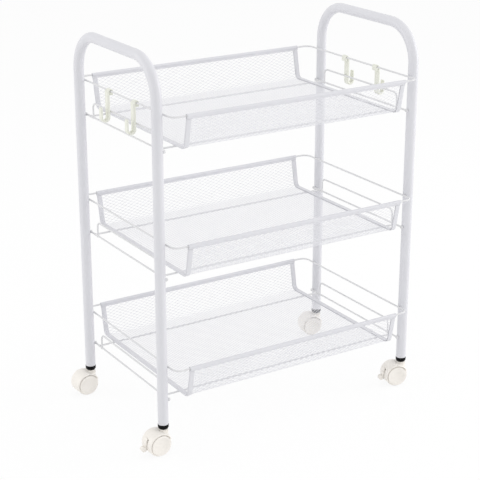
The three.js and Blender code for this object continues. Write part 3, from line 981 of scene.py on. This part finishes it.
@dataclass(frozen=True)
class Hook:
    """A clip-on J hook: one rounded band over the rim wire, down, round and up to a thinner tip."""

    side: Side
    end: End
    wire_gap: float = 0.2
    cap_thickness: float = 1.9
    thickness: float = 4.2
    tip_thickness: float = 3.2
    head_width: float = 10.6
    stem_width: float = 9.8
    tip_width: float = 7.4
    lip: float = 6.0
    drop: float = 39.5
    mouth: float = 7.6
    tip_rise: float = 14.5
    rise_start: float = 0.1
    jaw_gap: float = 0.25
    shoulder: float = 45.0
    neck_length: float = 1.5
    bend_margin: float = 1.0
    blunt: float = 0.1
    lip_points: int = 8
    head_steps: int = 12
    shoulder_steps: int = 4
    stem_points: int = 24
    bowl_steps: int = 24
    tip_points: int = 12
    section_points: int = 28
    corner_power: float = 0.4

    @property
    def grip_steps(self) -> int:
        """Steps over the wire, as many as the head and its shoulder have together."""
        return self.head_steps + self.shoulder_steps

    def band(self, grip: float) -> tuple[np.ndarray, np.ndarray]:
        """Draws the band's two faces side by side, from the lip behind the wire to the tip.

        Args:
            grip: The radius that clears the wire.

        Returns:
            (outward, up) points from the wire's centre on the face that touches the wire and goes round
            the bowl's outside, and on the face that goes over the head and round the bowl's inside.
        """
        cap, stem, foot = grip + self.cap_thickness, grip + self.thickness, -self.drop
        inside = self.mouth / 2
        outside = (self.thickness + self.mouth + self.tip_thickness) / 2
        lip_to_wire = np.sin(np.linspace(-math.pi / 2, 0, self.lip_points)) * self.lip
        rise = np.sin(np.linspace(self.rise_start, math.pi / 2, self.tip_points))
        bowl_to_tip = foot + rise * (self.tip_rise + self.tip_thickness / 2)
        down = np.linspace(-self.bend_margin, foot + self.bend_margin, self.stem_points)
        head = arc((0, 0), cap, 180, self.shoulder, self.head_steps)
        touching = [
            upright(-grip, lip_to_wire),
            arc((0, 0), grip, 180, 0, self.grip_steps),
            upright(grip, down),
            arc((grip + outside, foot), outside, 180, 360, self.bowl_steps),
            upright(grip + 2 * outside, bowl_to_tip),
        ]
        facing = [
            upright(-cap, lip_to_wire),
            head,
            np.linspace(head[-1], (stem, 0), self.shoulder_steps + 1)[1:],
            upright(stem, down),
            arc((stem + inside, foot), inside, 180, 360, self.bowl_steps),
            upright(stem + self.mouth, bowl_to_tip),
        ]
        return np.concatenate(touching), np.concatenate(facing)

    def build(self) -> None:
        """Fills the band with soft-cornered sections: wide at the head, narrower below and at the tip."""
        node = f"{self.side.word}_{self.end.word}_hook"
        low, high = node_box(node)
        tray = Tray(Tier.TOP)
        rim_low, rim_high, _ = tray.rim
        grip = tray.wire_radius + self.wire_gap
        touching, facing = self.band(grip)
        middle, half = (facing + touching) / 2, (facing - touching) / 2
        length = np.insert(np.cumsum(np.linalg.norm(np.diff(middle, axis=0), axis=1)), 0, 0)
        head_end = 2 * self.lip + self.head_width / 2
        bowl = length[-1] - self.tip_rise - 2 * self.mouth
        wide = np.interp(
            length,
            [head_end, head_end + self.neck_length, bowl, length[-1]],
            [self.head_width, self.stem_width, self.stem_width, self.tip_width],
        )
        end_depth = np.where(length < length[-1] / 2, self.cap_thickness, self.tip_thickness) / 2
        inset = 1 - np.clip(np.minimum(length, length[-1] - length) / end_depth, 0, 1)
        soft = np.sqrt(np.clip(1 - inset**2, self.blunt, 1))
        breadth = wide / 2 - end_depth * (1 - soft)
        angles = np.linspace(0, 2 * math.pi, self.section_points, endpoint=False)
        round_off = np.stack([np.sin(angles), np.cos(angles)])
        u, v = np.sign(round_off) * np.abs(round_off) ** self.corner_power
        spread = middle[:, None, :] + (soft[:, None] * v)[..., None] * half[:, None, :]
        x = rim_low[0] if self.side is Side.LEFT else rim_high[0]
        place = np.array([x, (low[1] + high[1]) / 2, rim_low[2]])
        points = np.stack([self.side.value * spread[..., 0], breadth[:, None] * u, spread[..., 1]], axis=-1)
        make_piece(
            f"{self.side.word}_{self.end.word}_j_hook",
            [capped(points + place), self.jaw(grip, place)],
            HOOK_POLYPROPYLENE,
            replaces=node,
            body=node,
            crease=SOFT_CREASE,
        )

    def jaw(self, grip: float, place: np.ndarray) -> Surface:
        """Makes the block under the wire that closes the clip to a slot.

        Args:
            grip: The radius that clears the wire.
            place: The wire's centre at the hook.

        Returns:
            The block, hollowed to the wire's round on top.
        """
        rest = arc((0, 0), grip, 180, 360, self.grip_steps)
        rest = rest[rest[:, 0] < grip - self.jaw_gap]
        back = -grip - self.cap_thickness / 2
        outline = np.concatenate([rest, [(rest[-1, 0], -self.lip), (back, -self.lip), (back, 0)]])
        block = plate(outline * np.array([self.side.value, 1]), self.head_width - self.cap_thickness)
        return block.moved(place)


@dataclass(frozen=True)
class Caster:
    """A twin-wheel swivel caster with a hood, and the plug that holds it in its tube.

    The hood, web, neck, wheels and lever are drawn about the axle, with the caster heading for +X, and
    their angles are degrees above +X. The plug is drawn about its tube.
    """

    side: Side
    end: End
    hood_lip: float = 18.0
    hood_crown: float = 2.5
    hood_power: float = 2.6
    hood_reach: float = 15.2
    hood_wall: float = 0.8
    hood_inner: float = 19.3
    hood_front: float = 25.0
    hood_back: float = 203.0
    hood_half_width: float = 15.0
    hood_edge: float = 0.3
    hood_steps: int = 64
    hood_points: int = 26
    slot_half_width: float = 6.0
    slot_start: float = 148.5
    seat_radius: float = 19.9
    web_width: float = 11.0
    nose_steps: int = 40
    axle_boss: float = 5.5
    neck_front: float = 7.2
    neck_steps: tuple[tuple[float, float], ...] = ((9.4, 2.9), (8.4, 1.6), (7.2, 0.0))
    neck_edge: float = 0.3
    neck_ledge: float = 1.0
    neck_sides: int = 48
    collar_radius: float = 8.4
    collar_height: float = 7.0
    collar_rounding: float = 3.0
    collar_steps: int = 10
    ledge_rounding: float = 0.4
    edge_steps: int = 4
    plug_radius: float = 6.4
    plug_tip_inset: float = 1.0
    plug_tip_height: float = 2.0
    plug_roof: float = 3.0
    plug_sides: int = 40
    stem_bore: float = 4.5
    wheel_inner: float = 6.0
    wheel_outer: float = 14.6
    wheel_bore: float = 3.0
    wheel_sides: int = 64
    disc_radius: float = 16.3
    disc_height: float = 2.5
    disc_rounding: float = 0.5
    recess_depth: float = 0.3
    recess_radius: float = 11.2
    recess_edge: float = 11.7
    tread_rounding: float = 2.2
    tread_start: float = 80.0
    tread_steps: int = 10
    rear_rounding: float = 1.2
    rear_steps: int = 6
    lever_inner: float = 15.0
    lever_outer: float = 22.4
    lever_start: float = 153.0
    lever_end: float = 198.0
    lever_hem: float = 146.0
    lever_reach: float = 28.0
    lever_toe: float = 4.0
    toe_height: float = -4.6
    lever_width: float = 7.6
    lever_edge: float = 0.5
    lever_steps: int = 16
    toe_steps: int = 12
    hem_steps: int = 3
    hem_clearance: float = 0.6
    slot_clearance: float = 0.4
    bridge_outer: float = 20.7
    bridge_width: float = 9.8
    bridge_start: float = 167.0
    bridge_end: float = 175.0
    bridge_steps: int = 6
    rib_places: tuple[float, ...] = (-23.2, -24.4, -25.6)
    rib_radius: float = 0.45
    rib_sides: int = 10
    rib_margin: float = 1.0
    pivot_radius: float = 14.5
    pivot_angle: float = 140.0
    pivot_boss: float = 3.0
    boss_start: float = -36.0
    boss_end: float = 135.0

    @property
    def corner(self) -> str:
        """The corner's name as the frame's nodes spell it."""
        return f"{self.end.word}_{self.side.word}"

    @property
    def braked(self) -> bool:
        """Whether this caster has a brake lever."""
        return self.end is End.FRONT

    @property
    def axle(self) -> np.ndarray:
        """The axle's middle."""
        low, high = node_box(f"{self.corner}_caster_axle")
        return (low + high) / 2

    @property
    def heading(self) -> np.ndarray:
        """The level step from the axle to the stem, which is the way the caster points."""
        low, high = node_box(f"{self.corner}_caster_stem")
        return ((low + high) / 2 - self.axle)[:2]

    @property
    def trail(self) -> float:
        """How far the axle trails the stem."""
        return float(np.linalg.norm(self.heading))

    def placed(self, surface: Surface) -> Surface:
        """Turns a surface that is drawn about the axle, heading for +X, and moves it to the axle."""
        return surface.spun(math.atan2(self.heading[1], self.heading[0])).moved(self.axle)

    def build(self) -> None:
        """Makes the plug, the body, both wheels and the lever, and dresses the steel pieces."""
        corner = self.corner
        plug = f"{corner}_tube_plug"
        make_piece(f"{corner}_collar_plug", [self.plug()], PLUG_POLYETHYLENE, replaces=plug)
        shell = make_piece(
            f"{corner}_caster_hood",
            [self.placed(part) for part in [*self.hood(), self.web(), self.neck()]],
            CASTER_NYLON,
            replaces=f"{corner}_caster_body",
            body=f"{corner}_caster",
        )
        bevelled(shell, self.hood_edge)
        for end in End:
            make_piece(
                f"{corner}_{end.word}_wheel_disc",
                [self.placed(self.wheel(end))],
                CASTER_NYLON,
                replaces=f"{corner}_caster_{end.word}_wheel",
                body=f"{corner}_{end.word}_wheel",
            )
        if self.braked:
            pedal = make_piece(
                f"{corner}_brake_pedal",
                [self.placed(part) for part in self.lever()],
                CASTER_NYLON,
                replaces=f"{corner}_brake_lever",
                body=f"{corner}_brake",
            )
            bevelled(pedal, self.lever_edge)
        for piece in ("stem", "axle"):
            node = f"{corner}_caster_{piece}"
            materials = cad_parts[node].data.materials
            materials.clear()
            materials.append(material_of(ZINC_STEEL))
            log.info("%s: the frame's own solid in %s", node, ZINC_STEEL.name)

    def plug(self) -> Surface:
        """A collar with a rounded lower edge under a plug, turned about the stem, with its bore.

        Returns:
            The collar and plug as one surface.
        """
        low, high = node_box(f"{self.corner}_tube_plug")
        x, y, radius = (low[0] + high[0]) / 2, (low[1] + high[1]) / 2, self.collar_radius
        foot, top = low[2], high[2]
        ledge, roof = foot + self.collar_height, top - self.plug_roof
        edge, soft = self.ledge_rounding, self.collar_rounding
        profile = np.concatenate([
            [[0, top], [self.plug_radius - self.plug_tip_inset, top]],
            [[self.plug_radius, top - self.plug_tip_height], [self.plug_radius, ledge]],
            arc((radius - edge, ledge - edge), edge, 90, 0, self.edge_steps),
            arc((radius - soft, foot + soft), soft, 0, -90, self.collar_steps),
            [[self.stem_bore, foot], [self.stem_bore, roof], [0, roof]],
        ])
        return lathed(profile, self.plug_sides).moved((x, y, 0))

    def hood(self) -> list[Surface]:
        """Three strips carried round the axle: two sides and a middle, which a brake's slot cuts short.

        Returns:
            The strips.
        """
        half, slot = self.hood_half_width, self.slot_half_width
        strips = [(-half, -slot, self.hood_back), (slot, half, self.hood_back)]
        strips.append((-slot, slot, self.slot_start if self.braked else self.hood_back))
        return [
            revolved(self.hood_section(start, stop), self.hood_front, back, self.hood_steps)
            for start, stop, back in strips
        ]

    def hood_section(self, start: float, stop: float) -> np.ndarray:
        """The hood's wall between two depths, crowned: lip + crown sqrt(1 - (|y| / reach)^power).

        Args:
            start: The first depth.
            stop: The last depth.

        Returns:
            A closed outline of (radius, y) points.
        """
        y = np.linspace(start, stop, self.hood_points)
        crown = self.hood_crown * np.sqrt(1 - (np.abs(y) / self.hood_reach) ** self.hood_power)
        outer = self.hood_lip + crown
        inner = np.minimum(self.hood_inner, outer - self.hood_wall)
        return np.concatenate([np.stack([outer, y], axis=1), np.stack([inner, y], axis=1)[::-1]])

    def web(self) -> Surface:
        """The plate between the wheels, a round nose at the front and an upright edge behind the axle.

        Returns:
            The plate.
        """
        back = 180 - math.degrees(math.acos(self.axle_boss / self.seat_radius))
        nose = arc((0, 0), self.seat_radius, -self.hood_front, back, self.nose_steps)
        heel = [[-self.axle_boss, -self.seat_radius * math.sin(math.radians(self.hood_front))]]
        return plate(np.concatenate([nose, heel]), self.web_width)

    def neck(self) -> Surface:
        """A stepped round neck whose foot follows the hood: z = sqrt(R^2 - x^2) under each point.

        Returns:
            The neck.
        """
        top = node_box(f"{self.corner}_caster_body")[1][2] - self.axle[2]
        ring = round_section(1, self.neck_sides)
        edge, ledge = self.neck_edge * ring, self.neck_ledge * ring
        rows = []
        for radius, drop in self.neck_steps:
            reach = np.where(ring[:, 0] > 0, min(radius, self.neck_front), radius)
            x, y = self.trail + reach * ring[:, 0], radius * ring[:, 1]
            foot = np.sqrt(self.seat_radius**2 - x**2)
            if not rows:
                rows.append(np.stack([x, y, foot], axis=1))
            height = np.maximum(top - drop, foot)
            rows.append(np.stack([x, y, height - self.neck_edge], axis=1))
            rows.append(np.stack([x - edge[:, 0], y - edge[:, 1], height], axis=1))
            if drop:
                rows.append(np.stack([x - ledge[:, 0], y - ledge[:, 1], height], axis=1))
        return capped(np.stack(rows))

    def wheel(self, end: End) -> Surface:
        """A wheel turned about the axle: a flat disc with a shallow ring, a round shoulder and a tread.

        Args:
            end: The side of the caster that it is on.

        Returns:
            The wheel.
        """
        inner, outer, bore = self.wheel_inner, self.wheel_outer, self.wheel_bore
        radius = self.axle[2] - node_box(f"{self.corner}_caster_{end.word}_wheel")[0][2]
        sunk, step = outer - self.recess_depth, outer - self.disc_height
        edge, soft, rear = self.disc_rounding, self.tread_rounding, self.rear_rounding
        profile = np.concatenate([
            [[0, sunk], [self.recess_radius, sunk], [self.recess_edge, outer]],
            arc((self.disc_radius - edge, outer - edge), edge, 90, 0, self.edge_steps),
            [[self.disc_radius, step]],
            arc((radius - soft, step - soft), soft, self.tread_start, 0, self.tread_steps),
            arc((radius - rear, inner + rear), rear, 0, -90, self.rear_steps),
            [[bore, inner], [bore, step], [0, step]],
        ])
        return lathed(profile, self.wheel_sides).turned("xzy", (1, end.value, 1))

    def lever(self) -> list[Surface]:
        """A pedal plate over the hood that ends in a round toe, a wider bridge across it and three ribs.

        Returns:
            The plate, the bridge and the ribs.
        """
        start, hem = self.lever_start, self.lever_hem
        tread = self.toe_height + self.lever_toe
        toe_top = 180 - math.degrees(math.asin(tread / self.lever_outer))
        pivot = arc((0, 0), self.pivot_radius, self.pivot_angle, self.pivot_angle, 1)[0]
        shoulder = self.hood_inner - self.slot_clearance
        over = self.hood_lip + self.hood_crown + self.hem_clearance
        toe = (self.lever_toe - self.lever_reach, self.toe_height)
        outline = np.concatenate([
            arc((0, 0), self.lever_outer, hem, toe_top, self.lever_steps),
            arc(toe, self.lever_toe, 90, 270, self.toe_steps),
            arc((0, 0), self.lever_inner, self.lever_end, start, self.lever_steps),
            arc(tuple(pivot), self.pivot_boss, self.boss_start, self.boss_end, self.toe_steps),
            arc((0, 0), shoulder, start, start, 1)[:1],
            arc((0, 0), over, start, hem, self.hem_steps),
        ])
        rib = round_section(self.rib_radius, self.rib_sides)
        half = self.lever_width / 2 - self.rib_margin
        ribs = [
            swept(straight_path((x, -half, tread), (x, half, tread), (1, 0, 0)), rib)
            for x in self.rib_places
        ]
        side, near, far = self.bridge_width / 2, self.lever_inner, self.bridge_outer
        block = np.array([(near, -side), (far, -side), (far, side), (near, side)])
        bridge = revolved(block, self.bridge_start, self.bridge_end, self.bridge_steps)
        return [plate(outline, self.lever_width), bridge, *ribs]


@dataclass(frozen=True)
class Lamp:
    """A soft area lamp that faces the cart's middle."""

    name: str
    place: tuple[float, float, float]
    size: float
    power: float


@dataclass(frozen=True)
class Studio:
    """White floor and background, soft lamps and the camera. Places are metres."""

    target: tuple[float, float, float] = (0.0, 0.0, 0.32)
    camera_place: tuple[float, float, float] = (-1.1066, -1.7669, 1.0204)
    camera_yaw: float = 32.074
    camera_pitch: float = 19.969
    camera_lens: float = 103.74
    sensor: float = 36.0
    floor_half: float = 6.0
    floor_white: float = 0.9
    floor_grey: float = 0.95
    ambient: float = 0.79
    lamps: tuple[Lamp, ...] = (
        Lamp("left_softbox", (-2.2, 1.2, 1.0), 1.6, 13.0),
        Lamp("right_softbox", (2.4, -0.9, 0.9), 1.6, 22.0),
        Lamp("front_softbox", (-0.4, -2.8, 0.7), 1.4, 6.5),
        Lamp("top_softbox", (0.2, -0.2, 2.6), 1.8, 8.0),
    )

    def build(self) -> None:
        """Makes the world, floor, lamps and camera."""
        self.make_world()
        self.make_floor()
        for lamp in self.lamps:
            self.make_lamp(lamp)
        self.make_camera()

    def seen_directly(self, tree: bpy.types.NodeTree) -> bpy.types.NodeSocket:
        """Adds nodes that give 1 to the camera's rays and to reflected and refracted ones.

        Args:
            tree: The node tree.

        Returns:
            The socket with the sum, held under 1.
        """
        rays = add_node(tree, "ShaderNodeLightPath", {}, {})
        first = add_node(tree, "ShaderNodeMath", {"operation": "ADD"}, {})
        tree.links.new(rays.outputs["Is Camera Ray"], first.inputs[0])
        tree.links.new(rays.outputs["Is Glossy Ray"], first.inputs[1])
        second = add_node(tree, "ShaderNodeMath", {"operation": "ADD", "use_clamp": True}, {})
        tree.links.new(first.outputs[0], second.inputs[0])
        tree.links.new(rays.outputs["Is Transmission Ray"], second.inputs[1])
        return second.outputs[0]

    def make_world(self) -> None:
        """A white background to look at, and a plain dimmer light from all round."""
        world = bpy.data.worlds.new("white_studio")
        world.use_nodes = True
        tree = world.node_tree
        tree.nodes.clear()
        level = add_node(
            tree,
            "ShaderNodeMapRange",
            {"To Min": self.ambient, "To Max": 1.0},
            {"Value": self.seen_directly(tree)},
        )
        light = add_node(
            tree, "ShaderNodeBackground", {"Color": (1, 1, 1, 1)}, {"Strength": level.outputs["Result"]}
        )
        add_node(tree, "ShaderNodeOutputWorld", {}, {"Surface": light.outputs[0]})
        bpy.context.scene.world = world

    def make_floor(self) -> None:
        """A white floor that keeps a soft shadow: mostly white of its own to the eye, partly lit."""
        half = self.floor_half
        mesh = bpy.data.meshes.new("studio_floor")
        corners = [(-half, -half, 0), (half, -half, 0), (half, half, 0), (-half, half, 0)]
        mesh.from_pydata(corners, [], [(0, 1, 2, 3)])
        material = bpy.data.materials.new("white_floor")
        material.use_nodes = True
        tree = material.node_tree
        tree.nodes.clear()
        grey = (self.floor_grey, self.floor_grey, self.floor_grey, 1)
        matt = add_node(tree, "ShaderNodeBsdfDiffuse", {"Color": grey}, {})
        white = add_node(tree, "ShaderNodeEmission", {"Color": (1, 1, 1, 1), "Strength": 1.0}, {})
        share = add_node(
            tree,
            "ShaderNodeMapRange",
            {"To Min": 0.0, "To Max": self.floor_white},
            {"Value": self.seen_directly(tree)},
        )
        mixed = add_node(tree, "ShaderNodeMixShader", {}, {"Fac": share.outputs["Result"]})
        tree.links.new(matt.outputs[0], mixed.inputs[1])
        tree.links.new(white.outputs[0], mixed.inputs[2])
        add_node(tree, "ShaderNodeOutputMaterial", {}, {"Surface": mixed.outputs[0]})
        mesh.materials.append(material)
        floor = bpy.data.objects.new("studio_floor", mesh)
        bpy.context.scene.collection.objects.link(floor)

    def make_lamp(self, lamp: Lamp) -> None:
        """Adds one square area lamp of white light, turned to the target.

        Args:
            lamp: The lamp's name, place, size and power.
        """
        data = bpy.data.lights.new(lamp.name, "AREA")
        data.size = lamp.size
        data.energy = lamp.power
        light = bpy.data.objects.new(lamp.name, data)
        light.location = lamp.place
        light.rotation_euler = (Vector(self.target) - light.location).to_track_quat("-Z", "Y").to_euler()
        bpy.context.scene.collection.objects.link(light)

    def make_camera(self) -> None:
        """A camera at the photograph's viewing angle, looking along its yaw and pitch."""
        data = bpy.data.cameras.new("photo_camera")
        data.sensor_width = self.sensor
        data.lens = self.camera_lens
        camera = bpy.data.objects.new("photo_camera", data)
        yaw, pitch = math.radians(self.camera_yaw), math.radians(self.camera_pitch)
        ahead = Vector((math.sin(yaw) * math.cos(pitch), math.cos(yaw) * math.cos(pitch), -math.sin(pitch)))
        camera.location = self.camera_place
        camera.rotation_euler = ahead.to_track_quat("-Z", "Y").to_euler()
        bpy.context.scene.collection.objects.link(camera)
        bpy.context.scene.camera = camera


def main() -> None:
    """Builds the studio and every piece of the cart."""
    logging.basicConfig(level=logging.INFO, format="%(name)s: %(message)s")
    bpy.context.scene.view_settings.view_transform = "Standard"
    Studio().build()
    for side in Side:
        EndFrame(side).build()
    for tier in Tier:
        Tray(tier).build()
    for side in Side:
        for end in End:
            Hook(side, end).build()
            Caster(side, end).build()


if __name__ == "__main__":
    main()
